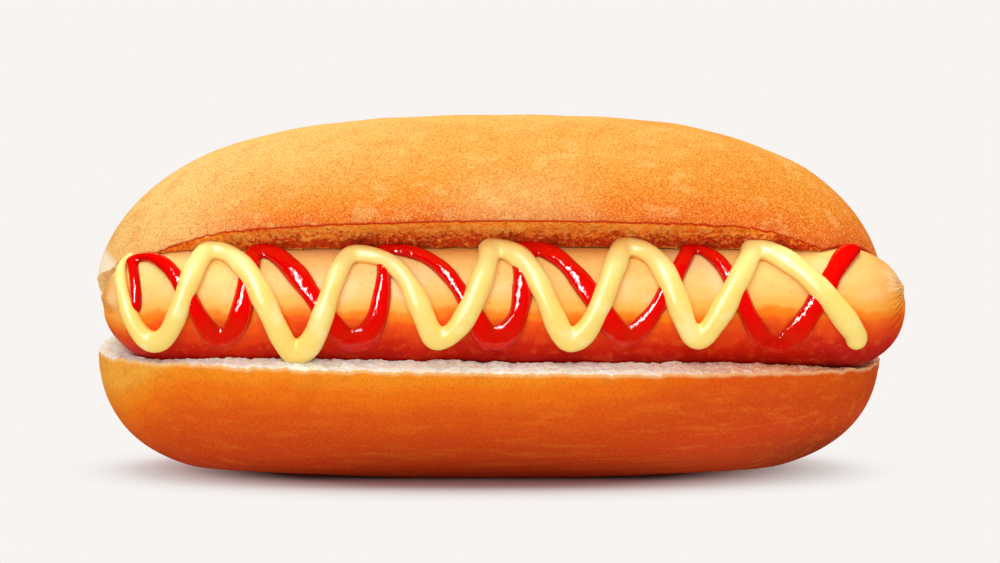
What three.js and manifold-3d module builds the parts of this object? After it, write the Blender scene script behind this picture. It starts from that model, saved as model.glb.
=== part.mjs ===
// A hot dog: a soft side-cut bun, opened like a book along its back, holding one frankfurter
// with a zigzag of ketchup and a zigzag of mustard piped over it.
//
// Millimetres, +Z up. The bun is longest along X and its mouth faces -Y. The origin is under the
// middle of the whole, on the surface that the bun's flat base rests on.

import * as THREE from 'three';
import { mergeVertices } from 'three/addons/utils/BufferGeometryUtils.js';
import Module from 'manifold-3d';

// ---------------------------------------------------------------- driving dimensions

// The bun as baked, before it is cut: a loaf with a flat base and square-shouldered ends.
const BUN_LENGTH = 152.4;
const BUN_DEPTH = 56;
const HEEL_LENGTH_SHARE = 0.994; // the heel is a little shorter than the crown
const CUT_HEIGHT = 22.2; // height of the slit above the base
const CROWN_RISE = 31.7; // from the slit to the top of the crown
const HEEL_DROP = 23.8; // the heel's curve would reach this far down; the base trims it flat
const BASE_CURL = 1.4; // how far the base rises towards the bun's ends
const BASE_FLAT = 0.12; // share of half the length that stays flat
const BASE_CURL_SPAN = 0.5; // share of half the length over which it then rises
// Squareness is an exponent: 2 is an ellipse, more is squarer.
const CROWN_PLAN_SQUARENESS = 2.3; // seen from above
const HEEL_PLAN_SQUARENESS = 3.3;
const CROWN_SQUARENESS = 3.2; // seen from the front
const HEEL_LEFT_SQUARENESS = 5.9;
const HEEL_RIGHT_SQUARENESS = 5.2;
const CROWN_ROUNDNESS = 2.35; // seen from an end
const HEEL_ROUNDNESS = 2.5;

// How the crown is opened.
const CROWN_TILT = 30.3; // degrees
const CROWN_LIFT = 14.4;
const CROWN_DROOP = 1.5; // how much lower the crown hangs at its two ends
const CROWN_SLIDE = -0.3; // the crown and the heel each sit a little to the left
const HEEL_SLIDE = -0.3;
const CROWN_LEAN = 0.006; // the crown rises slightly to the right
const HEEL_LEAN = -0.013; // and the heel's lip falls
const HEEL_DROOP = 1.7; // how much lower that lip is at the two ends
const HINGE_STARTS = -50; // degrees round the back, where the crust begins to fold
const HINGE_ENDS = 100;
const BUN_UNEVENNESS = 0.3; // height of the soft swells in the crust
const SWELL_SPAN = 20; // height over which those swells fade out towards the base

// The frankfurter.
const SAUSAGE_LEFT = -74.2;
const SAUSAGE_RIGHT = 79.3;
const SAUSAGE_RADIUS = 12;
const SAUSAGE_Y = -12.2;
const SAUSAGE_BOW = 4; // how far its ends curve back from the middle
const SAUSAGE_HEIGHT = 32.2;
const LEFT_TIP_LENGTH = 18; // length of each domed end
const RIGHT_TIP_LENGTH = 19;
const LEFT_TIP_SQUARENESS = 2.2;
const RIGHT_TIP_SQUARENESS = 2.9;
const LEFT_TIP_RISE = 0.8; // the two ends curl up a little
const RIGHT_TIP_RISE = 0.2;
const PLEAT_COUNT = 12; // folds of skin gathered at each end
const PLEAT_DEPTH = 0.35;
const PLEAT_REACH = 6; // how far the folds run from the tip
const KNOT_RADIUS = 1.2; // of the knot of skin at each tip
const KNOT_REACH = 0.5;
const LEFT_KNOT_RISE = 0.8; // how far each knot sits above the middle of the tip
const RIGHT_KNOT_RISE = 4.0;

// The sauces: half width, half height and how high the bead's middle rides on the skin.
const MUSTARD = { halfWidth: 2.1, halfHeight: 1.95, ride: 1.0 };
const KETCHUP = { halfWidth: 1.75, halfHeight: 1.25, ride: 0.35 };

// Where each sauce turns. A row is the place along X, the angle up the skin from the front
// (0 is level with the sausage's middle, 90 its top), how far the line runs level before and
// after the turn, and how wide the bead is there.
const MUSTARD_TURNS = [
  [-67.6, 80, -9, -15, 0.4],
  [-63.4, -28, 16, 17, 0.95],
  [-52.4, 61, 9, 24, 0.95],
  [-36.8, -35, 5, 18, 1.1],
  [-25.4, 60, 11, 33, 0.85],
  [-10.0, -20, 6, 20, 1.05],
  [-0.7, 68, -6, 28, 1.0],
  [14.8, -21, 9, 16, 1.05],
  [24.9, 69, 1, 27, 1.0],
  [38.8, -20, 12, 7, 1.05],
  [49.0, 68, -6, 15, 1.05],
  [68.6, -23, -10, 0, 1.1],
];
const KETCHUP_TURNS = [
  [-66.6, 1, 1, 3, 0.65],
  [-68.3, 65, -2, 26, 0.75],
  [-50.7, -23, 8, 19, 1.15],
  [-44.0, 71, 4, 14, 0.9],
  [-26.2, -24, 6, 25, 1.2],
  [-20.4, 72, -1, 38, 0.9],
  [-0.4, -21, 4, 30, 1.2],
  [7.0, 75, 8, 17, 1.35],
  [25.0, -20, 7, 13, 1.15],
  [36.5, 75, -10, 25, 0.9],
  [53.7, -29, 19, 11, 1.1],
  [68.0, 70, 0, 4, 1.4],
];

// The mouth of the bun. Each corner of the wedge that it takes out has a place [y, z] in the
// middle of the bun and one at its two ends, and a share of the torn crumb's relief. In the
// middle the soft crumb closes round the sausage; at the ends the faces lie flatter.
const MOUTH_FRONT = -56; // well in front of the bun
const HEEL_CORNERS = [
  { middle: [MOUTH_FRONT, 21.4], end: [MOUTH_FRONT, 21.4], relief: 0 },
  { middle: [-28, 21.9], end: [-28, 21.9], relief: 1 }, // the heel's lip
  { middle: [-23.5, 22.6], end: [-21, 22.5], relief: 1 },
  { middle: [-17.5, 23.8], end: [-10, 23.2], relief: 1 }, // where the crumb meets the sausage
  { middle: [-1, 29.8], end: [0, 24.3], relief: 1 },
  { middle: [5, 32.4], end: [10, 26.4], relief: 0 }, // the end of the slit
];
const CROWN_CORNERS = [
  { middle: [5, 33.6], end: [10, 29.5], relief: 0 }, // the end of the slit
  { middle: [-2, 36.8], end: [0, 38.5], relief: 1 },
  { middle: [-13.9, 43.4], end: [-13.9, 43.4], relief: 1 }, // where the crumb meets the sausage
  { middle: [-18.2, 47.5], end: [-18.8, 46.9], relief: 1 },
  { middle: [-24, 49.4], end: [-24, 49.4], relief: 1 }, // the crown's lip
  { middle: [MOUTH_FRONT, 70.5], end: [MOUTH_FRONT, 70.5], relief: 0 },
];
const END_FACES_START = 0.6; // as a share of half the bun's length
const CRUMB_RELIEF = 0.35; // height of the bumps on the torn faces
const MOUTH_OVERHANG = 10; // how far the wedge reaches past each end of the bun

const CLEARANCE = 0.35; // between the bread and what lies in it

// Fineness of the faceted surfaces.
const BUN_SIDES = 36;
const BUN_RINGS = 41;
const SAUSAGE_SIDES = 2 * PLEAT_COUNT;
const SAUSAGE_RINGS = 26;
const BEAD_SIDES = 8;
const BEAD_RINGS = 7; // along each stroke, closer together at its turns
const CAP_RINGS = 2; // over each round end
const KNOT_SIDES = 10;
const KNOT_RINGS = 6;
const MOUTH_STEP = 4.8;

// ---------------------------------------------------------------- small helpers

const wasm = await Module();
wasm.setup();

const radians = THREE.MathUtils.degToRad;
const clamp = THREE.MathUtils.clamp;
const lerp = THREE.MathUtils.lerp;
const smooth = (value) => THREE.MathUtils.smoothstep(value, 0, 1);

// A height that falls from 1 in the middle to 0 at the end, the squarer the larger the exponent.
const taper = (t, squareness) => Math.sqrt(Math.max(0, 1 - t ** squareness));

// A signed power, for rounded-square sections.
const rounded = (value, roundness) => Math.sign(value) * Math.abs(value) ** (2 / roundness);

// Gentle, repeatable unevenness between -1 and 1.
function uneven(x, y, z) {
  const long = Math.sin(x * 0.11 + y * 0.17 + 1.3) * Math.sin(z * 0.19 - x * 0.05 + 0.4);
  const short = Math.sin(x * 0.31 - z * 0.23 + 2.1) * Math.sin(y * 0.37 + x * 0.13);
  return 0.6 * long + 0.4 * short;
}

// The torn crumb's finer bumps, between -1 and 1.
function crumbBumps(x, y) {
  return 0.5 * Math.sin(x * 1.7 + y * 0.9) + 0.5 * Math.sin(x * 2.9 - y * 1.3 + 0.8);
}

// Joins and cuts drop edges shorter than this.
const SHORTEST_EDGE = 0.05;
const SAME_PLACE = 0.001; // points nearer than this are one

function solidFrom(geometry) {
  const bare = geometry.clone();
  bare.deleteAttribute('normal');
  bare.deleteAttribute('uv');
  const merged = mergeVertices(bare, SAME_PLACE);
  return new wasm.Manifold(new wasm.Mesh({
    numProp: 3,
    vertProperties: Float32Array.from(merged.getAttribute('position').array),
    triVerts: Uint32Array.from(merged.getIndex().array),
    tolerance: SHORTEST_EDGE,
  }));
}

function geometryFrom(solid) {
  const mesh = solid.getMesh();
  const geometry = new THREE.BufferGeometry();
  geometry.setAttribute('position', new THREE.BufferAttribute(mesh.vertProperties, 3));
  geometry.setIndex(new THREE.BufferAttribute(mesh.triVerts, 1));
  return geometry;
}

// The largest shell of a solid alone: hollows sealed inside it are filled and scraps dropped.
function withoutHollows(solid) {
  const shells = solid.decompose();
  const outer = shells.reduce((most, shell) => (shell.volume() > most.volume() ? shell : most));
  return outer.simplify(SHORTEST_EDGE);
}

// A closed body made of cross-sections. The rings of a sphere become the sections, and
// placePoint(along, around) says where each of their points goes: along runs from one end to
// the other, around once about the body, both from 0 to 1.
function bodyFromSections(rings, sides, placePoint) {
  const geometry = new THREE.SphereGeometry(1, sides, rings);
  const position = geometry.getAttribute('position');
  for (let ring = 0; ring <= rings; ring += 1) {
    for (let side = 0; side <= sides; side += 1) {
      const point = placePoint(ring / rings, (side % sides) / sides);
      position.setXYZ(ring * (sides + 1) + side, point.x, point.y, point.z);
    }
  }
  return solidFrom(geometry);
}

// ---------------------------------------------------------------- the bun

// A point of the loaf's crust after the crown is opened. The angle runs from -180 at the
// heel's lip, under the base and up the back, to +180 at the crown's lip.
function crustPoint(x, angle) {
  const t = Math.abs(x) / (BUN_LENGTH / 2);
  const cosine = Math.cos(radians(angle));
  const sine = Math.sin(radians(angle));
  const isCrown = sine > 0;
  const heelSquareness = x < 0 ? HEEL_LEFT_SQUARENESS : HEEL_RIGHT_SQUARENESS;
  const rise = isCrown ? CROWN_RISE * taper(t, CROWN_SQUARENESS) : HEEL_DROP * taper(t, heelSquareness);
  const roundness = isCrown ? CROWN_ROUNDNESS : HEEL_ROUNDNESS;
  const opened = smooth((angle - HINGE_STARTS) / (HINGE_ENDS - HINGE_STARTS));
  const plan = lerp(HEEL_PLAN_SQUARENESS, CROWN_PLAN_SQUARENESS, opened);
  const y = (BUN_DEPTH / 2) * taper(t, plan) * rounded(cosine, roundness);
  const base = BASE_CURL * smooth((t - BASE_FLAT) / BASE_CURL_SPAN) - CUT_HEIGHT;
  const z = Math.max(base, rise * rounded(sine, roundness));
  // The crown turns about the bun's middle line and lifts; the crust at the back folds gradually.
  const tilt = radians(CROWN_TILT) * opened;
  const lift = CROWN_LIFT - CROWN_DROOP * t ** 3 + CROWN_LEAN * x;
  return new THREE.Vector3(
    x * lerp(HEEL_LENGTH_SHARE, 1, opened) + lerp(HEEL_SLIDE, CROWN_SLIDE, opened),
    y * Math.cos(tilt) + z * Math.sin(tilt),
    CUT_HEIGHT - y * Math.sin(tilt) + z * Math.cos(tilt) + lift * opened,
  );
}

// One point of the whole bun's outline. First it closes the mouth straight up from the heel's
// lip to the crown's; the rest of the way round, back to the heel's lip, is crust.
const CRUST_SHARE = 0.9;
const END_ROUNDING = 0.07; // share of the rings, at each end, that round it off
const FLAT_END = 0.996; // where that rounding starts, as a share of half the length
const SWELLS_START = 3; // the crust below this height stays even, so that the base is flat
function bunOutline(along, around) {
  const half = BUN_LENGTH / 2;
  const endness = clamp((END_ROUNDING - Math.min(along, 1 - along)) / END_ROUNDING, 0, 1);
  const middle = clamp((along - END_ROUNDING) / (1 - 2 * END_ROUNDING), 0, 1);
  const x = -half * FLAT_END * Math.cos(Math.PI * middle);
  let point;
  if (around < 1 - CRUST_SHARE) {
    point = crustPoint(x, -180).lerp(crustPoint(x, 180), around / (1 - CRUST_SHARE));
  } else {
    point = crustPoint(x, lerp(-180, 180, (1 - around) / CRUST_SHARE));
  }
  const centre = new THREE.Vector3(x, 0, CUT_HEIGHT + CROWN_LIFT / 2);
  point.lerp(centre, 1 - Math.sqrt(1 - endness ** 2));
  point.x += Math.sign(x) * half * (1 - FLAT_END) * Math.sin((Math.PI / 2) * endness);
  if (point.z > SWELLS_START) {
    point.z += BUN_UNEVENNESS * uneven(point.x, point.y, point.z) * smooth(point.z / SWELL_SPAN);
  }
  return point;
}

// What the opened mouth takes away: a wedge between the two crumb faces, from far in front of
// the bun back to the end of the slit, and past both of the bun's ends.
function mouthWedge() {
  const corners = [...HEEL_CORNERS, ...CROWN_CORNERS];
  const shape = new THREE.Shape(corners.map((corner) => new THREE.Vector2(...corner.middle)));
  const length = BUN_LENGTH + 2 * MOUTH_OVERHANG;
  const steps = Math.round(length / MOUTH_STEP);
  const geometry = new THREE.ExtrudeGeometry(shape, { depth: length, steps, bevelEnabled: false });
  const position = geometry.getAttribute('position');
  for (let index = 0; index < position.count; index += 1) {
    // The shape is drawn in Y and Z and pushed along X.
    const drawn = new THREE.Vector2(position.getX(index), position.getY(index));
    const x = position.getZ(index) - length / 2;
    const nearest = corners.findIndex(({ middle }) => (
      drawn.distanceTo(new THREE.Vector2(...middle)) < SAME_PLACE
    ));
    const { middle, end, relief } = corners[nearest];
    const isCrown = nearest >= HEEL_CORNERS.length;
    const t = clamp(Math.abs(x) / (BUN_LENGTH / 2), 0, 1);
    const towardsEnd = smooth((t - END_FACES_START) / (1 - END_FACES_START));
    const y = lerp(middle[0], end[0], towardsEnd);
    const z = lerp(middle[1], end[1], towardsEnd);
    const settle = isCrown
      ? CROWN_LEAN * x - CROWN_DROOP * t ** 3
      : HEEL_LEAN * x - HEEL_DROOP * t ** 4;
    const bump = CRUMB_RELIEF * relief * crumbBumps(x, y + z);
    position.setXYZ(index, x, y, z + settle + bump);
  }
  return solidFrom(geometry);
}

// ---------------------------------------------------------------- the frankfurter

// The sausage's middle line at a place along it.
function sausageMiddle(x) {
  const rise = x < 0 ? LEFT_TIP_RISE : RIGHT_TIP_RISE;
  const share = x / (x < 0 ? SAUSAGE_LEFT : SAUSAGE_RIGHT);
  return new THREE.Vector3(
    x,
    SAUSAGE_Y + SAUSAGE_BOW * share ** 2,
    SAUSAGE_HEIGHT + rise * share ** 4,
  );
}

function sausageRadius(x) {
  const toTip = x < 0 ? x - SAUSAGE_LEFT : SAUSAGE_RIGHT - x;
  const t = clamp(1 - toTip / (x < 0 ? LEFT_TIP_LENGTH : RIGHT_TIP_LENGTH), 0, 1);
  const squareness = x < 0 ? LEFT_TIP_SQUARENESS : RIGHT_TIP_SQUARENESS;
  return SAUSAGE_RADIUS * taper(t, squareness) * (1 + 0.012 * Math.sin(x * 0.09 + 0.6));
}

const SMOOTH_TIP = 1.2; // the folds fade out this near to the tip

// The skin, grown outwards by extra.
function sausageBody(extra) {
  const middle = (SAUSAGE_LEFT + SAUSAGE_RIGHT) / 2;
  const half = (SAUSAGE_RIGHT - SAUSAGE_LEFT) / 2;
  return bodyFromSections(SAUSAGE_RINGS, SAUSAGE_SIDES, (along, around) => {
    const x = middle - half * Math.cos(Math.PI * along);
    const toTip = Math.min(x - SAUSAGE_LEFT, SAUSAGE_RIGHT - x);
    const gather = smooth(1 - toTip / PLEAT_REACH) * Math.min(1, toTip / SMOOTH_TIP);
    const pleat = extra > 0 ? 0 : PLEAT_DEPTH * gather * Math.cos(2 * Math.PI * PLEAT_COUNT * around);
    const atTip = along === 0 || along === 1;
    const radius = atTip ? 0 : sausageRadius(x) + extra + pleat;
    const angle = 2 * Math.PI * around;
    const point = sausageMiddle(x);
    point.x += atTip ? Math.sign(x) * extra : 0;
    point.y -= radius * Math.cos(angle);
    point.z += radius * Math.sin(angle);
    return point;
  });
}

// The knot of skin at a tip.
function knot(x, rise, extra) {
  const geometry = new THREE.SphereGeometry(KNOT_RADIUS + extra, KNOT_SIDES, KNOT_RINGS);
  const tip = sausageMiddle(x);
  geometry.translate(x + Math.sign(x) * (KNOT_REACH - KNOT_RADIUS), tip.y, tip.z + rise);
  return solidFrom(geometry);
}

// ---------------------------------------------------------------- the sauces

// A point on the skin, raised off it by ride.
function skinPoint(x, degrees, ride) {
  const radius = sausageRadius(x) + ride;
  const angle = radians(degrees);
  const point = sausageMiddle(x);
  point.y -= radius * Math.cos(angle);
  point.z += radius * Math.sin(angle);
  return point;
}

// One stroke from a turn to the next: level at both ends, so that it swings round the turns.
function strokePlace(from, to, share) {
  const s2 = share * share;
  const s3 = s2 * share;
  const toStart = 2 * s3 - 3 * s2 + 1;
  const toEnd = 1 - toStart;
  const runOut = s3 - 2 * s2 + share;
  const runIn = s3 - s2;
  return {
    x: toStart * from[0] + toEnd * to[0] + runOut * from[3] + runIn * to[2],
    degrees: toStart * from[1] + toEnd * to[1],
    width: toStart * from[4] + toEnd * to[4],
  };
}

const STROKE_SAMPLES = 48;
const BEND_SPAN = 0.03; // the share of a stroke over which its bend is measured
const INSIDE_SHARE = 0.8; // of the turn's radius

// One stroke of a sauce as a closed bead with round ends, grown outwards by extra.
function strokeBead(from, to, sauce, extra) {
  const points = [];
  for (let index = 0; index <= STROKE_SAMPLES; index += 1) {
    const place = strokePlace(from, to, index / STROKE_SAMPLES);
    points.push(skinPoint(place.x, place.degrees, sauce.ride * Math.min(1, place.width)));
  }
  const curve = new THREE.CatmullRomCurve3(points);
  const rings = BEAD_RINGS + 2 * CAP_RINGS;
  return bodyFromSections(rings, BEAD_SIDES, (along, around) => {
    const ring = Math.round(along * rings);
    const intoCap = Math.max(CAP_RINGS - ring, ring - (rings - CAP_RINGS), 0) / CAP_RINGS;
    const evenShare = clamp((ring - CAP_RINGS) / BEAD_RINGS, 0, 1);
    const share = 0.5 - 0.5 * Math.cos(Math.PI * evenShare);
    const point = curve.getPointAt(share);
    const tangent = curve.getTangentAt(share);
    const { width } = strokePlace(from, to, share);
    const halfWidth = sauce.halfWidth * width + extra;
    const halfHeight = sauce.halfHeight * Math.min(1, width) + extra;
    const outward = point.clone().sub(sausageMiddle(point.x)).normalize();
    const sideways = tangent.clone().cross(outward).normalize();
    const upward = sideways.clone().cross(tangent).normalize();
    const shrink = Math.cos((Math.PI / 2) * intoCap);
    const push = Math.sign(share - 0.5) * halfWidth * Math.sin((Math.PI / 2) * intoCap);
    const angle = 2 * Math.PI * around;
    // On the inside of a tight turn the bead is no wider than the turn's own radius.
    const before = curve.getTangentAt(Math.max(0, share - BEND_SPAN));
    const after = curve.getTangentAt(Math.min(1, share + BEND_SPAN));
    const bend = after.sub(before).dot(sideways) / (2 * BEND_SPAN * curve.getLength());
    const isInside = bend * Math.cos(angle) > 0;
    const reach = isInside ? Math.min(halfWidth, INSIDE_SHARE / Math.abs(bend)) : halfWidth;
    return point
      .addScaledVector(tangent, push)
      .addScaledVector(sideways, reach * shrink * Math.cos(angle))
      .addScaledVector(upward, halfHeight * shrink * Math.sin(angle));
  });
}

function sauceLine(turns, sauce, extra) {
  let line = strokeBead(turns[0], turns[1], sauce, extra);
  for (let index = 1; index < turns.length - 1; index += 1) {
    line = line.add(strokeBead(turns[index], turns[index + 1], sauce, extra));
  }
  return line;
}

// The dressed sausage as one piece, grown outwards by extra.
function dressedSausage(extra) {
  const dressed = sausageBody(extra)
    .add(knot(SAUSAGE_LEFT, LEFT_KNOT_RISE, extra))
    .add(knot(SAUSAGE_RIGHT, RIGHT_KNOT_RISE, extra))
    .add(sauceLine(KETCHUP_TURNS, KETCHUP, extra))
    .add(sauceLine(MUSTARD_TURNS, MUSTARD, extra));
  return withoutHollows(dressed);
}

// ---------------------------------------------------------------- the pieces

function bunSolid() {
  const loaf = bodyFromSections(BUN_RINGS, BUN_SIDES, bunOutline);
  return withoutHollows(loaf.subtract(mouthWedge()).subtract(dressedSausage(CLEARANCE)));
}

function namedMesh(name, solid, material) {
  const mesh = new THREE.Mesh(geometryFrom(solid), new THREE.MeshStandardMaterial(material));
  mesh.name = name;
  return mesh;
}

const hotDog = new THREE.Group();
hotDog.add(
  namedMesh('bun', bunSolid(), { color: 0xe39a48, roughness: 0.75, metalness: 0 }),
  namedMesh('sausage', dressedSausage(0), { color: 0xd9692a, roughness: 0.35, metalness: 0 }),
);

// The origin goes under the middle of the whole, at the height of the base.
const bounds = new THREE.Box3().setFromObject(hotDog);
const centre = bounds.getCenter(new THREE.Vector3());
hotDog.position.set(-centre.x, -centre.y, -bounds.min.z);

export default hotDog;
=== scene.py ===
"""A dressed hot dog: a side-cut bun, a frankfurter, and a zigzag each of ketchup and mustard.

The script is laid out as an add-on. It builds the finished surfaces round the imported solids.
Shapes are worked out in millimetres, in the bun's own frame, and written to meshes in metres.
"""

import math

import bpy
import numpy as np
from bpy.props import FloatProperty, FloatVectorProperty, PointerProperty
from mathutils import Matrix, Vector, kdtree, noise


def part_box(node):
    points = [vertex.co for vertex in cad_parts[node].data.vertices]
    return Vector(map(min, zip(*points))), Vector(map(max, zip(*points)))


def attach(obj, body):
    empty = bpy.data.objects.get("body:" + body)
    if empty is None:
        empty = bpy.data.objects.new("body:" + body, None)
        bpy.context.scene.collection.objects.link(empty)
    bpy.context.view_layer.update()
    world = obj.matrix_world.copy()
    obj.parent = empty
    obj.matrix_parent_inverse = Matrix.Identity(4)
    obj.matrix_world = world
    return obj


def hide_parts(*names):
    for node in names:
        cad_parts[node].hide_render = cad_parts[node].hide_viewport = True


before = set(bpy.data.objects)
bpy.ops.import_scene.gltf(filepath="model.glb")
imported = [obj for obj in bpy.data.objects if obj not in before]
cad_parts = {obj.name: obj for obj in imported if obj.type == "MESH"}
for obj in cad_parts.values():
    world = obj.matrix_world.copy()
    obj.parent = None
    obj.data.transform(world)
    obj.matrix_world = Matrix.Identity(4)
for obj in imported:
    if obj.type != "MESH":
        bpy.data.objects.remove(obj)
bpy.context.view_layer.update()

bl_info = {
    "name": "Dressed hot dog",
    "version": (1, 0, 0),
    "blender": (4, 5, 0),
    "location": "3D View > Sidebar > Hot dog",
    "description": "Builds a hot dog with a cut bun, a frankfurter, ketchup and mustard",
    "category": "Add Mesh",
}

MM = 0.001

# ---------------- the bun, millimetres

BUN_LENGTH = 152.4
BUN_DEPTH = 56.0
HEEL_LENGTH_SHARE = 0.994  # of the whole bun's length
CUT_HEIGHT = 22.2  # height of the slit above the base
CROWN_RISE = 31.7
HEEL_DROP = 23.8
CROWN_PLAN_SQUARENESS = 2.3  # 2 is an ellipse, more is squarer
HEEL_PLAN_SQUARENESS = 3.3
CROWN_SQUARENESS = 3.2
HEEL_SQUARENESS = (5.9, 5.2)  # on the left and on the right
CROWN_ROUNDNESS = 2.35
HEEL_ROUNDNESS = 2.5
BASE_CURL = 1.4  # how far the base rises towards the ends
BASE_FLAT = 0.12  # share of half the length that stays flat
BASE_CURL_SPAN = 0.5
CROWN_TILT = math.radians(30.3)
CROWN_LIFT = 14.4
CROWN_DROOP = 1.5  # how much lower the crown hangs at its ends
CROWN_LEAN = 0.006  # its rise to the right, for each millimetre
HEEL_DROOP = 1.7
HEEL_LEAN = -0.013
BUN_SLIDE = -0.3
HINGE_STARTS = -50.0  # degrees round the back
HINGE_ENDS = 100.0
BUN_UNEVENNESS = 0.3
SWELL_SPAN = 20.0
SWELLS_START = 3.0
CRUST_SHARE = 0.9  # of the way round the outline; the rest closes the mouth
END_ROUNDING = 0.07
FLAT_END = 0.996
LOAF_SIDES = 160
LOAF_RINGS = 190

# The mouth. Each corner of the wedge has a place (y, z) in the middle and at the bun's ends,
# the share of the crumb's relief there, and the number of steps up to the next corner.
MOUTH_FRONT = -56.0
MOUTH_CORNERS = [
    ((MOUTH_FRONT, 21.4), (MOUTH_FRONT, 21.4), 0.0, 3),
    ((-30.0, 21.86), (-30.0, 21.86), 0.5, 3),
    ((-28.0, 21.9), (-28.0, 21.9), 0.7, 12),
    ((-23.5, 22.6), (-21.0, 22.5), 1.0, 16),
    ((-17.5, 23.8), (-10.0, 23.2), 1.0, 12),
    ((-1.0, 29.8), (0.0, 24.3), 0.6, 4),
    ((5.0, 32.4), (10.0, 26.4), 0.0, 1),
    ((5.0, 33.6), (10.0, 29.5), 0.0, 4),
    ((-2.0, 36.8), (0.0, 38.5), 0.6, 12),
    ((-13.9, 43.4), (-13.9, 43.4), 1.0, 16),
    ((-18.2, 47.5), (-18.8, 46.9), 1.0, 14),
    ((-24.0, 49.4), (-24.0, 49.4), 0.2, 6),
    ((-26.5, 51.0), (-26.5, 51.0), 0.1, 3),
    ((MOUTH_FRONT, 70.5), (MOUTH_FRONT, 70.5), 0.0, 5),
]
HEEL_LIP = 2  # places in that list
FIRST_CROWN_CORNER = 7
CROWN_LIP = 11
END_FACES_START = 0.6
MOUTH_RINGS = 560
CROWN_CRUMB_SHARE = 1.4  # the crown's crumb is torn this much more deeply than the heel's
MOUTH_OVERHANG = 4.0  # how far the cutter reaches past each end
CRUMB_LUMP_HEIGHT = 0.45
CRUMB_GRAIN_HEIGHT = 0.3
PORE_DEPTH = 0.55
SEAT_DEPTH = 12.0  # how far in from the lips the sausage's seat counts as being
SHARPEST_CRUMB = 50.0  # degrees; a sharper edge of the bun is shaded as an edge

# ---------------- the frankfurter

SAUSAGE_LEFT = -74.2
SAUSAGE_RIGHT = 79.3
TIP_LENGTH = (18.0, 19.0)  # of the left and of the right domed end
TIP_SQUARENESS = (2.2, 2.9)
TIP_RISE = (0.8, 0.2)
SAUSAGE_RADIUS = 12.0
SAUSAGE_Y = -12.2
SAUSAGE_BOW = 4.0
SAUSAGE_HEIGHT = 32.2
THICKNESS_WAVER = 0.012  # share by which its thickness varies along it
SKIN_UNEVENNESS = 0.12
PLEAT_COUNT = 12
PLEAT_HEIGHT = 0.15
PLEAT_REACH = 6.0  # how far from the tip the folds run out
PLEATS_END = 0.8  # how far short of the tip they begin to fade towards it
FINE_PLEAT_COUNT = 40
FINE_PLEAT_HEIGHT = 0.26
FINE_PLEATS_START = 2.5  # this far out from the knot
KNOT_RADIUS = 2.0  # of the small knots of skin at the tips
KNOT_REACH = 0.5
KNOT_BACK = 3.0  # how far from the tip a knot still shows
KNOT_RISE = (1.4, 4.0)  # above the middle line
TIP_FACE = 2.5  # how far from the tip the folds notch it
TIP_NOTCH = 0.2
PLEAT_SHARE = (0.3, 1.0)  # the left tip's folds are slight, with one broad crease across it
CREASE_HEIGHT = 32.2
CREASE_WIDTH = 0.9
CREASE_DEPTH = 1.0
SAUSAGE_SIDES = 230
SAUSAGE_RINGS = 300
CLEARANCE = 0.3  # between the bread and the sausage

# ---------------- the sauces

# Each turn of a sauce: its place along X, the angle up the skin from the front, how far the
# line runs level before and after it, and how wide the bead is there.
MUSTARD_TURNS = [
    (-67.6, 80, -9, -15, 0.4),
    (-63.4, -28, 16, 17, 0.95),
    (-52.4, 61, 9, 24, 0.95),
    (-36.8, -35, 5, 18, 1.1),
    (-25.4, 60, 11, 33, 0.85),
    (-10.0, -20, 6, 20, 1.05),
    (-0.7, 68, -6, 28, 1.0),
    (14.8, -21, 9, 16, 1.05),
    (24.9, 69, 1, 27, 1.0),
    (38.8, -20, 12, 7, 1.05),
    (49.0, 68, -6, 15, 1.05),
    (68.5, -23, -5, 0, 1.05),
]
KETCHUP_TURNS = [
    (-66.6, 1, 1, 3, 0.65),
    (-68.3, 65, -2, 26, 0.75),
    (-50.7, -23, 8, 19, 1.15),
    (-44.0, 71, 4, 14, 1.2),
    (-26.2, -24, 6, 25, 1.2),
    (-20.4, 72, -1, 38, 0.9),
    (-0.4, -21, 4, 30, 1.2),
    (7.0, 75, 8, 17, 1.35),
    (25.0, -20, 7, 13, 1.15),
    (36.5, 75, -10, 25, 0.9),
    (53.7, -29, 19, 11, 1.1),
    (68.0, 70, 0, 4, 1.4),
]
STROKE_SAMPLES = 60
BEAD_SIDES = 26
BEAD_RING_STEP = 0.45
BEAD_CAP_RINGS = 6  # in the round end of a bead
BEAD_VOXEL = 0.33
BEAD_SMOOTHING = 10
MUSTARD_BEAD = (2.1, 1.95)  # half width and half height
KETCHUP_BEAD = (1.65, 1.3)
POOLS_BELOW = 8.0  # degrees up the skin from the front; the ketchup spreads under that
POOL_SPAN = 30.0  # degrees over which it does

# ---------------- the stage, metres

TABLE_SIZE = 6.0
BACKDROP_RADIUS = 2.9
AIM = Vector((0.075, -0.301, 36.43)) * MM  # the point that the camera looks at
CAMERA_LENS = 100.0  # this and the next in millimetres
CAMERA_SENSOR = 36.0
STRIP_PLACE = Vector((-0.55, -0.95, 0.75))
STRIP_WIDTH = 0.36
STRIP_HEIGHT = 1.5
ROOM_COLOR = (1.0, 0.98, 0.96)
# The table's own finish, with the shadow on it, fades into the plain backdrop between these
# distances in millimetres from a point a little to the left, in an oval this much wider than deep.
SHADOW_FADES = (40.0, 88.0)
SHADOW_OFFSET = 3.9
SHADOW_ROUNDNESS = 1.89

# The bun's own frame has its slit's middle line over X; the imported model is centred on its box.
SAUSAGE_MIDDLE = sum(corner.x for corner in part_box("sausage")) / 2 / MM
BUN_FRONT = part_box("bun")[0].y / MM
SHIFT = np.array(
    [SAUSAGE_MIDDLE - (SAUSAGE_LEFT + SAUSAGE_RIGHT) / 2, BUN_FRONT + BUN_DEPTH / 2, 0.0]
)


# ---------------- small helpers


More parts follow.
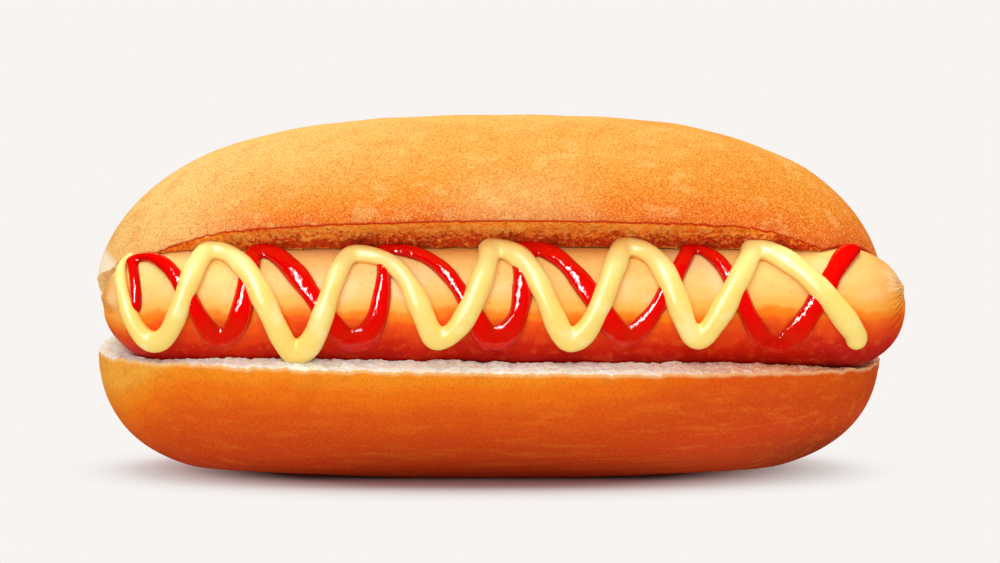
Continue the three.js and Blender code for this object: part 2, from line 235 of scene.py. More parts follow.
def srgb(red, green, blue):
    """A colour picked on a screen, 0 to 255, as the linear values that a shader works with."""
    shares = [value / 255 for value in (red, green, blue)]
    return tuple(s / 12.92 if s <= 0.04045 else ((s + 0.055) / 1.055) ** 2.4 for s in shares)


def opaque(color):
    """A colour with full alpha, as a node's socket takes it."""
    return (*color, 1.0)


def smooth(value):
    """Runs softly from 0 to 1 as value does."""
    value = np.clip(value, 0.0, 1.0)
    return value * value * (3 - 2 * value)


def lerp(a, b, share):
    return a + (b - a) * share


def taper(t, squareness):
    """Falls from 1 in the middle to 0 at the end, the squarer the larger the exponent."""
    return np.sqrt(np.maximum(0.0, 1 - t**squareness))


def rounded(value, roundness):
    """A signed power, for rounded-square sections."""
    return np.sign(value) * np.abs(value) ** (2 / roundness)


def uneven(x, y, z):
    """Gentle, repeatable unevenness between -1 and 1."""
    long = np.sin(x * 0.11 + y * 0.17 + 1.3) * np.sin(z * 0.19 - x * 0.05 + 0.4)
    short = np.sin(x * 0.31 - z * 0.23 + 2.1) * np.sin(y * 0.37 + x * 0.13)
    return 0.6 * long + 0.4 * short


def places(x, y, z):
    """Arrays of x, y and z as one array of points."""
    return np.stack([x, y, z], axis=1)


def activate(piece):
    """Makes a piece the only one selected, and the active one."""
    bpy.ops.object.select_all(action="DESELECT")
    piece.select_set(True)
    bpy.context.view_layer.objects.active = piece


def add_ball(name, sides, rings):
    """A ball of quads to be drawn out into a closed body."""
    bpy.ops.object.select_all(action="DESELECT")
    bpy.ops.mesh.primitive_uv_sphere_add(segments=sides, ring_count=rings, radius=1)
    piece = bpy.context.object
    piece.name = name
    piece.data.name = name
    return piece


def points_of(piece):
    points = np.zeros(len(piece.data.vertices) * 3)
    piece.data.vertices.foreach_get("co", points)
    return points.reshape(-1, 3)


def place_points(piece, points):
    piece.data.vertices.foreach_set("co", points.ravel())
    piece.data.update()


def draw_out(piece, rings, sides, place):
    """Moves each point of a ball to place(ring, side), and turns the faces outwards.

    The ball's rings become cross-sections from one end of the body to the other. Rings and
    sides are counted from 0, and place works on whole arrays of them, in millimetres.
    """
    ball = points_of(piece)
    ring = np.rint(np.arccos(np.clip(ball[:, 2], -1, 1)) / math.pi * rings)
    side = np.rint(np.arctan2(ball[:, 1], ball[:, 0]) / (2 * math.pi) * sides) % sides
    side[(ring == 0) | (ring == rings)] = 0
    place_points(piece, (place(ring, side) + SHIFT) * MM)
    activate(piece)
    bpy.ops.object.mode_set(mode="EDIT")
    bpy.ops.mesh.select_all(action="SELECT")
    bpy.ops.mesh.normals_make_consistent(inside=False)
    bpy.ops.object.mode_set(mode="OBJECT")


def add_measure(piece, name, values):
    """Keeps one number for each point of a piece, for its material to read."""
    measure = piece.data.attributes.new(name, "FLOAT", "POINT")
    measure.data.foreach_set("value", np.asarray(values, np.float32))


def apply_modifier(piece, kind, **settings):
    """Adds a modifier to a piece and applies it."""
    activate(piece)
    modifier = piece.modifiers.new(kind.lower(), kind)
    for key, value in settings.items():
        setattr(modifier, key, value)
    bpy.ops.object.modifier_apply(modifier=modifier.name)


def cut_away(piece, cutter):
    """Takes the cutter's space out of a piece. The cut faces keep the cutter's material."""
    settings = {"solver": "MANIFOLD", "material_mode": "TRANSFER", "object": cutter}
    apply_modifier(piece, "BOOLEAN", operation="DIFFERENCE", **settings)
    bpy.data.objects.remove(cutter)


def shade_smooth(piece, angle_degrees):
    activate(piece)
    bpy.ops.object.shade_smooth_by_angle(angle=math.radians(angle_degrees))


def hand_over(piece, node):
    """The finished piece rides on the body and stands for a solid, whose imported part is hidden.
    """
    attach(piece, "root")
    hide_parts(node)


# ---------------- shader graphs


class Sock:
    """A socket that gives a value. Arithmetic on it adds Math nodes."""

    def __init__(self, graph, socket):
        self.graph = graph
        self.socket = socket

    def math(self, operation, *others):
        inputs = dict(enumerate((self, *others)))
        return self.graph.node("ShaderNodeMath", {"operation": operation}, inputs)

    def __add__(self, other):
        return self.math("ADD", other)

    __radd__ = __add__

    def __sub__(self, other):
        return self.math("SUBTRACT", other)

    def __rsub__(self, other):
        return self.graph.node("ShaderNodeMath", {"operation": "SUBTRACT"}, {0: other, 1: self})

    def __mul__(self, other):
        return self.math("MULTIPLY", other)

    __rmul__ = __mul__

    def __truediv__(self, other):
        return self.math("DIVIDE", other)

    def between(self, low, high):
        """0 up to low, 1 from high, and a soft step between them. It falls if high is lower."""
        settings = {"interpolation_type": "SMOOTHSTEP"}
        inputs = {"Value": self, "From Min": low, "From Max": high}
        return self.graph.node("ShaderNodeMapRange", settings, inputs)


class Graph:
    """The shader graph of one material."""

    def __init__(self, name):
        self.material = bpy.data.materials.new(name)
        self.material.use_nodes = True
        self.tree = self.material.node_tree
        self.tree.nodes.clear()

    def node(self, kind, settings=None, inputs=None, output=0):
        """Adds a node. Its settings are set first, then its sockets get values or links."""
        node = self.tree.nodes.new(kind)
        for key, value in (settings or {}).items():
            if key == "stops":
                self.set_stops(node.color_ramp, value)
            else:
                setattr(node, key, value)
        for key, value in (inputs or {}).items():
            if isinstance(value, Sock):
                self.tree.links.new(value.socket, node.inputs[key])
            else:
                node.inputs[key].default_value = value
        return Sock(self, node.outputs[output]) if node.outputs else None

    def set_stops(self, ramp, stops):
        """Gives a colour ramp its places from 0 to 1, each with a colour."""
        ramp.interpolation = "EASE"
        while len(ramp.elements) < len(stops):
            ramp.elements.new(1.0)
        for element, (position, color) in zip(ramp.elements, stops):
            element.position = position
            element.color = opaque(color)

    def place(self, stretch=(1.0, 1.0, 1.0)):
        """The place on the object in millimetres, each axis stretched."""
        coordinates = self.node("ShaderNodeTexCoord", output="Object")
        inputs = {"Vector": coordinates, "Scale": [value / MM for value in stretch]}
        return self.node("ShaderNodeMapping", inputs=inputs)

    def axis(self, name):
        """One coordinate on the object in millimetres."""
        return self.node("ShaderNodeSeparateXYZ", inputs={"Vector": self.place()}, output=name)

    def measure(self, name):
        """The number kept for each point under that name."""
        return self.node("ShaderNodeAttribute", {"attribute_name": name}, output="Fac")

    def noise(self, scale, detail, roughness, stretch=(1.0, 1.0, 1.0)):
        """Clouds of so many to a millimetre."""
        inputs = {"Scale": scale, "Detail": detail, "Roughness": roughness}
        return self.node("ShaderNodeTexNoise", inputs={"Vector": self.place(stretch), **inputs})

    def cells(self, scale):
        """Distance to the nearest of many scattered points."""
        return self.node("ShaderNodeTexVoronoi", inputs={"Vector": self.place(), "Scale": scale})

    def ramp(self, value, *stops):
        """Goes from colour to colour as the value passes each stop."""
        return self.node("ShaderNodeValToRGB", {"stops": stops}, {"Fac": value})

    def mix(self, share, color, other):
        """A colour that goes from the first to the other as share goes from 0 to 1."""
        inputs = {0: share}
        for key, value in ((6, color), (7, other)):
            inputs[key] = value if isinstance(value, Sock) else opaque(value)
        return self.node("ShaderNodeMix", {"data_type": "RGBA"}, inputs, output=2)

    def paint(self, color, *layers):
        """Lays colours over one. Each layer has its share and its red, green and blue."""
        for share, *screen_color in layers:
            color = self.mix(share, color, srgb(*screen_color))
        return color

    def bump(self, height, distance):
        """A height, of so many millimetres at 1, as a change of the normal."""
        inputs = {"Height": height, "Distance": distance * MM, "Strength": 1.0}
        return self.node("ShaderNodeBump", inputs=inputs)

    def finish(self, **sockets):
        """Ends the graph in a Principled shader with these sockets."""
        inputs = {key.replace("_", " "): value for key, value in sockets.items()}
        return self.output(self.node("ShaderNodeBsdfPrincipled", inputs=inputs))

    def glow(self, color):
        """One even colour, whatever the light."""
        return self.node("ShaderNodeEmission", inputs={"Color": opaque(color)})

    def output(self, shader):
        self.node("ShaderNodeOutputMaterial", inputs={"Surface": shader})
        return self.material


# ---------------- materials


def crown_bake_and_light(graph, bun, uneven_bake, blotches, front):
    """The crown's colours: orange at the lip, gold above, palest at the top left; partly bake,
    partly painted light.
    """
    height = graph.axis("Z")
    along = graph.axis("X")
    lip = graph.measure("lip")
    # Deeper orange near the lip towards the right: partly bake, partly painted shade away from the
    # light on the left.
    to_right = along.between(8.0, 52.0)
    near_lip = 1 - lip.between(22.0, 46.0)
    from_lip = (lip + uneven_bake * 0.6) * (1 - to_right * near_lip * 0.45)
    # Orange at the lip to pale at the top: partly bake, partly painted light from above.
    bake_light_and_shade = graph.ramp(
        from_lip / 50.0,
        (0.00, srgb(230, 92, 18)),
        (0.04, srgb(240, 112, 16)),
        (0.10, srgb(243, 138, 32)),
        (0.18, bun.crust_color),
        (0.27, srgb(248, 168, 70)),
        (0.42, bun.pale_color),
        (0.62, srgb(249, 194, 100)),
        (0.90, srgb(244, 172, 80)),
    )
    in_middle = 1 - (along - 4.0).math("ABSOLUTE").between(5.0, 20.0)
    pale_patch = in_middle * height.between(47.0, 52.0) * (1 - height.between(55.0, 61.0))
    # Paler at the top left and the left end, on the front only: partly bake, partly painted light
    # from the upper left.
    top_left_bake_and_light = (1 - along.between(-46.0, -8.0)) * height.between(50.0, 66.0)
    left = 1 - along.between(-66.0, -38.0)
    return graph.paint(
        bake_light_and_shade,
        (pale_patch * front * 0.4, 250, 204, 124),
        (top_left_bake_and_light * front * 0.6, 252, 210, 124),
        (left * front * 0.7, 253, 214, 132),
        (blotches.between(0.5, 0.7) * 0.4, 238, 140, 46),
        (blotches.between(0.48, 0.3) * 0.35, 255, 212, 128),
    )


def heel_bake_and_shade(graph, bun, uneven_bake, blotches, streaks, front):
    """The heel's colours: gold at the lip, orange, then red-brown down to the base, partly painted
    shade.
    """
    height = graph.axis("Z")
    along = graph.axis("X")
    right = along.between(8.0, 52.0)
    left_end = 1 - along.between(-74.0, -58.0)
    raised = height - right * 7.5 + left_end * 6.5 + uneven_bake * 0.45
    # Red-brown towards the base: partly browning, partly painted shade under the light from above.
    # Darker to the right and paler at the left end.
    bake_light_and_shade = graph.ramp(
        raised / 26.0,
        (0.00, bun.base_color),
        (0.12, srgb(216, 66, 24)),
        (0.30, srgb(212, 70, 18)),
        (0.50, srgb(224, 84, 14)),
        (0.68, srgb(242, 112, 12)),
        (0.82, srgb(250, 144, 26)),
        (0.95, srgb(253, 176, 60)),
    )
    # Painted shade: near-black red low on the front at the right, by the base.
    right_foot_shade = along.between(36.0, 72.0) * (1 - height.between(2.0, 13.0))
    return graph.paint(
        bake_light_and_shade,
        (right_foot_shade * front, 96, 10, 2),
        (blotches.between(0.5, 0.7) * 0.25, 196, 66, 14),
        (streaks.between(0.5, 0.3) * 0.2, 250, 150, 40),
    )


def crust_material(bun):
    """Baked crust: gold at the top, orange at the lips, red-brown down to the base, partly painted
    light and shade.
    """
    graph = Graph("baked_crust")
    height = graph.axis("Z")
    lip = graph.measure("lip")
    back = graph.axis("Y").between(-4.0, 12.0)
    front = 1 - back
    clouds = graph.noise(0.07, 2.0, 0.5)
    blotches = graph.noise(0.28, 3.0, 0.6, (0.7, 1.0, 1.0))
    streaks = graph.noise(0.6, 3.0, 0.6, (0.14, 1.0, 1.0))
    grain = graph.noise(2.8, 4.0, 0.75)
    uneven_bake = (clouds - 0.5) * 8.0 + (blotches - 0.5) * 9.0 + (streaks - 0.5) * 4.0
    crown = crown_bake_and_light(graph, bun, uneven_bake, blotches, front)
    heel = heel_bake_and_shade(graph, bun, uneven_bake, blotches, streaks, front)
    upper = height.between(32.0, 38.0)
    is_crown = upper.math("MAXIMUM", height.between(8.0, 26.0) * back)
    pale_grain = graph.mix(is_crown, srgb(252, 150, 56), srgb(255, 224, 136))
    lip_line = (1 - lip.between(0.15, 0.6)) * upper
    soft_lip = (1 - lip.between(0.1, 0.9)) * (1 - upper)
    far_left = 1 - graph.axis("X").between(-78.0, -66.0)
    torn = (far_left + grain * 0.6 - height.between(36.0, 48.0)).between(0.5, 0.8)
    color = graph.mix(is_crown, heel, crown)
    color = graph.paint(color, (grain.between(0.45, 0.72) * (is_crown * 0.2 + 0.45), 184, 76, 12))
    color = graph.mix(grain.between(0.53, 0.28) * (is_crown * 0.3 + 0.25), color, pale_grain)
    color = graph.paint(
        color,
        (lip_line * 0.95, 190, 40, 4),
        (soft_lip * 0.6, 253, 214, 150),
        (torn * upper * front, 255, 236, 200),
    )
    return graph.finish(
        Base_Color=color,
        Roughness=0.6 + streaks * 0.2,
        Normal=graph.bump(grain * 1.2 + streaks * 0.4, 0.2),
        Specular_IOR_Level=0.03,
    )


def heel_crumb(graph, bun, patches, inside, at_end, at_left):
    """Fresh cream crumb, browned to the right, and darker where it lies deep in the mouth by the
    sausage.
    """
    to_right = graph.axis("X").between(12.0, 58.0)
    pore = graph.measure("pore")
    cream = graph.mix(patches.between(0.4, 0.65), bun.crumb_color, srgb(255, 244, 214))
    return graph.paint(
        cream,
        (to_right * 0.85, 234, 134, 66),
        (inside.between(8.0, 12.0) * (1 - at_end) * 0.5, 220, 122, 64),
        # Painted shade: darker in the pores.
        (pore * (0.3 - at_left * 0.25), 222, 140, 80),
    )


def crown_crumb(graph, patches, stain_and_shade, at_end, at_left):
    """Toasted crumb, dark red above the sausage in painted shade and a painted red reflection of
    the sausage, partly sauce stain, and pale at the left end.
    """
    clouds = graph.noise(0.16, 2.0, 0.5)
    tan = graph.mix(patches.between(0.40, 0.60), srgb(255, 136, 30), srgb(255, 180, 80))
    return graph.paint(
        tan,
        (clouds.between(0.48, 0.66) * 0.5, 252, 118, 20),
        (1 - graph.measure("lip").between(0.3, 1.4), 255, 142, 34),
        # Painted shade and a painted red reflection of the sausage, partly sauce stain.
        (stain_and_shade * 0.9, 204, 46, 16),
        # Painted shade: darker in the pores.
        (graph.measure("pore") * 0.5, 206, 66, 14),
        (at_end * at_left, 255, 212, 146),
    )


def crumb_material(bun):
    """Torn crumb: cream and open-pored on the heel; toasted under the crown, and dark red there
    above the sausage, partly sauce stain and partly painted shade and reflection.
    """
    graph = Graph("torn_crumb")
    height = graph.axis("Z")
    along = graph.axis("X")
    depth = graph.measure("depth")
    patches = graph.noise(0.55, 3.0, 0.65)
    grain = graph.noise(1.1, 3.0, 0.8)
    is_crown = height.between(32.0, 35.0)
    at_end = along.math("ABSOLUTE").between(64.0, 71.0)
    at_left = 1 - along.between(-66.0, -40.0)
    inside = depth + (patches - 0.5) * 9.0 + (grain - 0.5) * 4.0
    # Dark red deep in the crown's crumb above the sausage: painted shade and a painted red
    # reflection of the sausage, partly sauce stain.
    stain_and_shade = (inside - at_left * 9.0).between(5.6, 9.4)
    heel = heel_crumb(graph, bun, patches, inside, at_end, at_left)
    crown = crown_crumb(graph, patches, stain_and_shade, at_end, at_left)
    dark = graph.mix(is_crown, srgb(206, 116, 66), srgb(196, 52, 6))
    dark_share = (is_crown * 0.6 + 0.12) * (1 - at_end * at_left * 0.8)
    light = graph.mix(is_crown, srgb(255, 252, 236), srgb(255, 190, 98))
    light_share = 0.7 - stain_and_shade * is_crown * 0.3
    color = graph.mix(is_crown, heel, crown)
    color = graph.mix(grain.between(0.48, 0.66) * dark_share, color, dark)
    color = graph.mix(grain.between(0.5, 0.34) * light_share, color, light)
    return graph.finish(
        Base_Color=color,
        Roughness=0.85,
        Normal=graph.bump(grain * 1.2 + graph.cells(1.5) * 0.8, 0.3),
        Specular_IOR_Level=0.0,
        Subsurface_Weight=0.4,
        Subsurface_Radius=(1.0, 0.6, 0.35),
        Subsurface_Scale=2.5 * MM,
    )


def skin_material(sausage):
    """Cooked skin: golden above and red-brown below, partly painted light and shade, with a satin
    sheen and a pale painted sheen.
    """
    graph = Graph("cooked_skin")
    along = graph.axis("X")
    fold = graph.measure("fold")
    blotches = graph.noise(0.09, 2.0, 0.5)
    mottle = graph.noise(0.5, 3.0, 0.6)
    wrinkles = graph.noise(0.8, 3.0, 0.6, (0.25, 1.0, 1.0))
    fine = graph.noise(3.0, 2.0, 0.6)
    level = graph.axis("Z") - SAUSAGE_HEIGHT + (blotches - 0.5) * 6.0 + (mottle - 0.5) * 2.4
    level = level + (1 - along.between(-74.0, -62.0)) * 2.5
    # Paler above and darker red below: partly the skin's own tone, partly painted light from above
    # and painted shade beneath, with a painted sheen in the upper stops.
    tone_and_shading = graph.ramp(
        (level + 12.0) / 24.0,
        (0.00, srgb(120, 2, 0)),
        (0.14, srgb(180, 12, 0)),
        (0.235, srgb(202, 28, 0)),
        (0.335, srgb(224, 62, 2)),
        (0.43, srgb(238, 86, 2)),
        (0.50, srgb(250, 130, 10)),
        (0.575, srgb(253, 182, 76)),
        (0.67, sausage.top_color),
        (0.78, srgb(254, 208, 122)),
        (1.00, srgb(254, 206, 112)),
    )
    freckles = graph.cells(0.5).between(0.16, 0.08)
    at_tip = (1 - along.between(-76.0, -66.0)) + along.between(62.0, 78.0)
    color = graph.paint(
        tone_and_shading,
        (mottle.between(0.5, 0.8) * 0.25, 240, 132, 40),
        (freckles * 0.35, 206, 92, 24),
        (fine.between(0.6, 0.8) * 0.1, 210, 90, 24),
        (at_tip * level.between(-4.0, 2.0) * 0.6, 242, 138, 40),
        # Painted sheen: pale clouds on the upper side.
        (blotches.between(0.5, 0.66) * level.between(2.5, 5.0) * 0.5, 255, 220, 164),
        # Painted shade: darker red in the creases of the folds.
        (fold.between(0.3, 0.9) * 0.8, 170, 44, 0),
    )
    return graph.finish(
        Base_Color=color,
        Roughness=0.36 + mottle * 0.1,
        Normal=graph.bump(wrinkles + fine * 0.2, 0.12),
        Specular_IOR_Level=0.12,
    )


def mustard_material(mustard):
    """Smooth pale mustard, a little deeper where it is thin, with painted light on the high arches
    and painted sheen in pale clouds.
    """
    graph = Graph("smooth_mustard")
    height = graph.axis("Z")
    rise = graph.measure("rise")
    clouds = graph.noise(0.16, 2.0, 0.5)
    fine = graph.noise(1.4, 3.0, 0.6)
    color = graph.mix(clouds.between(0.35, 0.7) * 0.3, mustard.color, srgb(250, 208, 98))
    color = graph.paint(
        color,
        # Painted sheen: pale clouds of soft whitish shine.
        (clouds.between(0.46, 0.28) * 0.6, 255, 240, 172),
        # Painted light: paler on the high arches.
        (height.between(36.0, 42.0) * 0.5, 255, 242, 156),
        (1 - rise.between(0.0, 0.5), 238, 168, 70),
        (fine.between(0.55, 0.8) * 0.08, 240, 196, 84),
    )
    return graph.finish(
        Base_Color=color,
        Roughness=0.3 + fine * 0.08,
        Normal=graph.bump(fine, 0.05),
        Specular_IOR_Level=0.5,
        Subsurface_Weight=0.15,
        Subsurface_Radius=(1.0, 0.8, 0.35),
        Subsurface_Scale=1.2 * MM,
    )


def ketchup_material(ketchup):
    """Wet red ketchup. The skin shows through its edges and where it pools thinly below."""
    graph = Graph("wet_ketchup")
    height = graph.axis("Z")
    rise = graph.measure("rise")
    clouds = graph.noise(0.3, 3.0, 0.6)
    fine = graph.noise(0.9, 2.0, 0.5)
    deep = graph.mix(rise.between(0.1, 0.9), srgb(190, 2, 0), ketchup.color)
    low = 1 - height.between(SAUSAGE_HEIGHT - 6.0, SAUSAGE_HEIGHT + 2.0)
    pooled = (low * (0.5 + clouds * 0.9)).math("MINIMUM", 1.0)
    thick = rise.between(-0.08, 0.26)
    thin = rise.between(0.0, 0.9) * 0.62
    return graph.finish(
        Base_Color=graph.paint(deep, (clouds.between(0.4, 0.75) * 0.5, 216, 10, 2)),
        Roughness=0.03 + fine * 0.05,
        Alpha=thick + (thin - thick) * pooled,
        Normal=graph.bump(fine, 0.15),
        Specular_IOR_Level=0.6,
    )


def floor_material(stage):
    """A matte pale table that turns into the plain backdrop away from the food."""
    graph = Graph("pale_table")
    along = graph.axis("X") + SHADOW_OFFSET
    across = graph.axis("Y") * SHADOW_ROUNDNESS
    distance = (along * along + across * across).math("SQRT")
    fade = distance.between(*SHADOW_FADES)
    table = graph.node("ShaderNodeBsdfDiffuse", inputs={"Color": opaque(stage.table_color)})
    plain = graph.glow(stage.backdrop_color)
    return graph.output(graph.node("ShaderNodeMixShader", inputs={0: fade, 1: table, 2: plain}))


def backdrop_material(stage):
    """The plain pale backdrop."""
    graph = Graph("pale_backdrop")
    return graph.output(graph.glow(stage.backdrop_color))


# ---------------- the bun's shapes


def crust_point(x, angle):
    """The crust of the opened bun. The angle runs from -180 at the heel's lip, under the base
    and up the back, to +180 at the crown's lip."""
    t = np.abs(x) / (BUN_LENGTH / 2)
    cosine = np.cos(np.radians(angle))
    sine = np.sin(np.radians(angle))
    crown = sine > 0
    crown_rise = CROWN_RISE * taper(t, CROWN_SQUARENESS)
    heel_squareness = np.where(x < 0, *HEEL_SQUARENESS)
    rise = np.where(crown, crown_rise, HEEL_DROP * taper(t, heel_squareness))
    roundness = np.where(crown, CROWN_ROUNDNESS, HEEL_ROUNDNESS)
    opened = smooth((angle - HINGE_STARTS) / (HINGE_ENDS - HINGE_STARTS))
    plan = lerp(HEEL_PLAN_SQUARENESS, CROWN_PLAN_SQUARENESS, opened)
    y = (BUN_DEPTH / 2) * taper(t, plan) * rounded(cosine, roundness)
    base = BASE_CURL * smooth((t - BASE_FLAT) / BASE_CURL_SPAN) - CUT_HEIGHT
    z = np.maximum(base, rise * rounded(sine, roundness))
    tilt = CROWN_TILT * opened
    lift = CROWN_LIFT - CROWN_DROOP * t**3 + CROWN_LEAN * x
    return places(
        x * lerp(HEEL_LENGTH_SHARE, 1.0, opened) + BUN_SLIDE,
        y * np.cos(tilt) + z * np.sin(tilt),
        CUT_HEIGHT - y * np.sin(tilt) + z * np.cos(tilt) + lift * opened,
    )


def loaf_point(ring, side):
    """A point of the whole bun's outline, mouth closed straight up between the lips."""
    along = ring / LOAF_RINGS
    around = side / LOAF_SIDES
    half = BUN_LENGTH / 2
    to_end = np.minimum(along, 1 - along)
    endness = np.clip((END_ROUNDING - to_end) / END_ROUNDING, 0, 1)
    middle = np.clip((along - END_ROUNDING) / (1 - 2 * END_ROUNDING), 0, 1)
    x = -half * FLAT_END * np.cos(math.pi * middle)
    mouth_share = np.clip(around / (1 - CRUST_SHARE), 0, 1)[:, None]
    full = np.full_like(x, 180.0)
    mouth = lerp(crust_point(x, -full), crust_point(x, full), mouth_share)
    crust = crust_point(x, lerp(-180.0, 180.0, np.minimum(1, (1 - around) / CRUST_SHARE)))
    in_mouth = (around < 1 - CRUST_SHARE)[:, None]
    point = np.where(in_mouth, mouth, crust)
    centre = places(x, 0 * x, 0 * x + CUT_HEIGHT + CROWN_LIFT / 2)
    point = lerp(point, centre, (1 - np.sqrt(1 - endness**2))[:, None])
    point[:, 0] += np.sign(x) * half * (1 - FLAT_END) * np.sin(math.pi / 2 * endness)
    swell = BUN_UNEVENNESS * uneven(*point.T) * smooth(point[:, 2] / SWELL_SPAN)
    point[:, 2] += np.where(point[:, 2] > SWELLS_START, swell, 0)
    return point


def crumb_relief(x, way):
    """Height of the torn crumb and the depth of its pores at a place along and across."""
    place = Vector((x, way, 0.0))
    lumps = noise.fractal(place * 0.36, 0.9, 2.0, 2) * CRUMB_LUMP_HEIGHT
    grain = noise.fractal(place * 1.1, 0.7, 2.0, 2) * CRUMB_GRAIN_HEIGHT
    nearest = noise.voronoi(place * 0.8)[0][0]
    pinhole = noise.voronoi(place * 1.9 + Vector((7.0, 3.0, 1.0)))[0][0]
    pore = max(0.0, 1 - nearest / 0.42) * 0.8 + max(0.0, 1 - pinhole / 0.35) * 0.4
    return lumps + grain - PORE_DEPTH * pore, min(1.0, pore)


def mouth_stations():
    """The wedge's outline as the count of corners so far, for each side of the cutter."""
    steps = [corner[-1] for corner in MOUTH_CORNERS]
    return np.concatenate([index + np.arange(count) / count for index, count in enumerate(steps)])


def corner_values(stations):
    """Each of the corners' values at the stations, run straight from a corner to the next."""
    columns = zip(*((*middle, *end, relief) for middle, end, relief, _ in MOUTH_CORNERS))
    corners = range(len(MOUTH_CORNERS) + 1)
    return [np.interp(stations, corners, (*column, column[0])) for column in columns]


def mouth_cutter(material):
    """The wedge that the opened mouth takes away, with the crumb's relief on its faces."""
    stations = mouth_stations()
    sides = len(stations)
    middle_y, middle_z, end_y, end_z, share = corner_values(stations)
    is_crown = np.clip(stations - FIRST_CROWN_CORNER + 1, 0, 1)
    is_crown = np.where(stations > len(MOUTH_CORNERS) - 1, len(MOUTH_CORNERS) - stations, is_crown)
    way = np.concatenate([[0], np.cumsum(np.hypot(np.diff(middle_y), np.diff(middle_z)))])
    heel_lip = np.argmin(np.abs(stations - HEEL_LIP))
    crown_lip = np.argmin(np.abs(stations - CROWN_LIP))
    depth = np.minimum(np.abs(way - way[heel_lip]), np.abs(way - way[crown_lip]))
    length = BUN_LENGTH + 2 * MOUTH_OVERHANG
    relief = {}

    def place(ring, side):
        side = side.astype(int)
        x = length * (np.clip(ring - 1, 0, MOUTH_RINGS - 2) / (MOUTH_RINGS - 2) - 0.5)
        t = np.clip(np.abs(x) / (BUN_LENGTH / 2), 0, 1)
        towards_end = smooth((t - END_FACES_START) / (1 - END_FACES_START))
        y = lerp(middle_y[side], end_y[side], towards_end)
        z = lerp(middle_z[side], end_z[side], towards_end)
        heel_fall = HEEL_LEAN * x - HEEL_DROOP * t**4
        z = z + lerp(heel_fall, CROWN_LEAN * x - CROWN_DROOP * t**3, is_crown[side])
        rough = share[side]
        bumps = np.array(
            [crumb_relief(a, b) if c else (0.0, 0.0) for a, b, c in zip(x, way[side], rough)]
        )
        # The heel's face looks up and the crown's looks down.
        facing = 1 - 2 * is_crown[side]
        z = z + facing * rough * lerp(1.0, CROWN_CRUMB_SHARE, is_crown[side]) * bumps[:, 0]
        relief["pore"] = bumps[:, 1] * rough
        relief["depth"] = depth[side]
        at_pole = (ring == 0) | (ring == MOUTH_RINGS)
        y = np.where(at_pole, (middle_y[heel_lip] + middle_y[crown_lip]) / 2, y)
        z = np.where(at_pole, (middle_z[heel_lip] + middle_z[crown_lip]) / 2, z)
        return places(x, y, z)

    cutter = add_ball("mouth_cutter", sides, MOUTH_RINGS)
    cutter.data.materials.append(material)
    draw_out(cutter, MOUTH_RINGS, sides, place)
    add_measure(cutter, "pore", relief["pore"])
    add_measure(cutter, "depth", relief["depth"])
    return cutter


def measure_lip(bun):
    """Keeps each point's distance in millimetres from the edge between crust and crumb."""
    mesh = bun.data
    crust = np.full(len(mesh.vertices), False)
    crumb = np.full(len(mesh.vertices), False)
    for face in mesh.polygons:
        touched = crumb if face.material_index else crust
        touched[list(face.vertices)] = True
    edge = np.flatnonzero(crust & crumb)
    points = points_of(bun) / MM
    tree = kdtree.KDTree(len(edge))
    for index in edge:
        tree.insert(points[index], index)
    tree.balance()
    add_measure(bun, "lip", [tree.find(point)[2] for point in points])


# ---------------- the frankfurter's shapes


def sausage_middle(x):
    """The sausage's middle line."""
    rise = np.where(x < 0, *TIP_RISE)
    share = x / np.where(x < 0, SAUSAGE_LEFT, SAUSAGE_RIGHT)
    return places(x, SAUSAGE_Y + SAUSAGE_BOW * share**2, SAUSAGE_HEIGHT + rise * share**4)


def sausage_radius(x):
    to_tip = np.where(x < 0, x - SAUSAGE_LEFT, SAUSAGE_RIGHT - x)
    tip_length = np.where(x < 0, *TIP_LENGTH)
    t = np.clip(1 - to_tip / tip_length, 0, 1)
    squareness = np.where(x < 0, *TIP_SQUARENESS)
    return SAUSAGE_RADIUS * taper(t, squareness) * (1 + THICKNESS_WAVER * np.sin(x * 0.09 + 0.6))


def skin_point(x, degrees, ride):
    """A point on the skin, raised off it by ride."""
    radius = sausage_radius(x) + ride
    point = sausage_middle(x)
    point[:, 1] -= radius * np.cos(np.radians(degrees))
    point[:, 2] += radius * np.sin(np.radians(degrees))
    return point


def plain_skin(ring, side):
    """The skin without folds, grown by the clearance, to be cut out of the bread."""
    along = ring / SAUSAGE_RINGS
    x = lerp(SAUSAGE_LEFT, SAUSAGE_RIGHT, 0.5 - 0.5 * np.cos(math.pi * along))
    at_tip = (along == 0) | (along == 1)
    point = skin_point(x, 360 * side / SAUSAGE_SIDES, np.where(at_tip, 0, CLEARANCE))
    point[:, 0] += np.where(at_tip, np.sign(x) * CLEARANCE, 0)
    return point


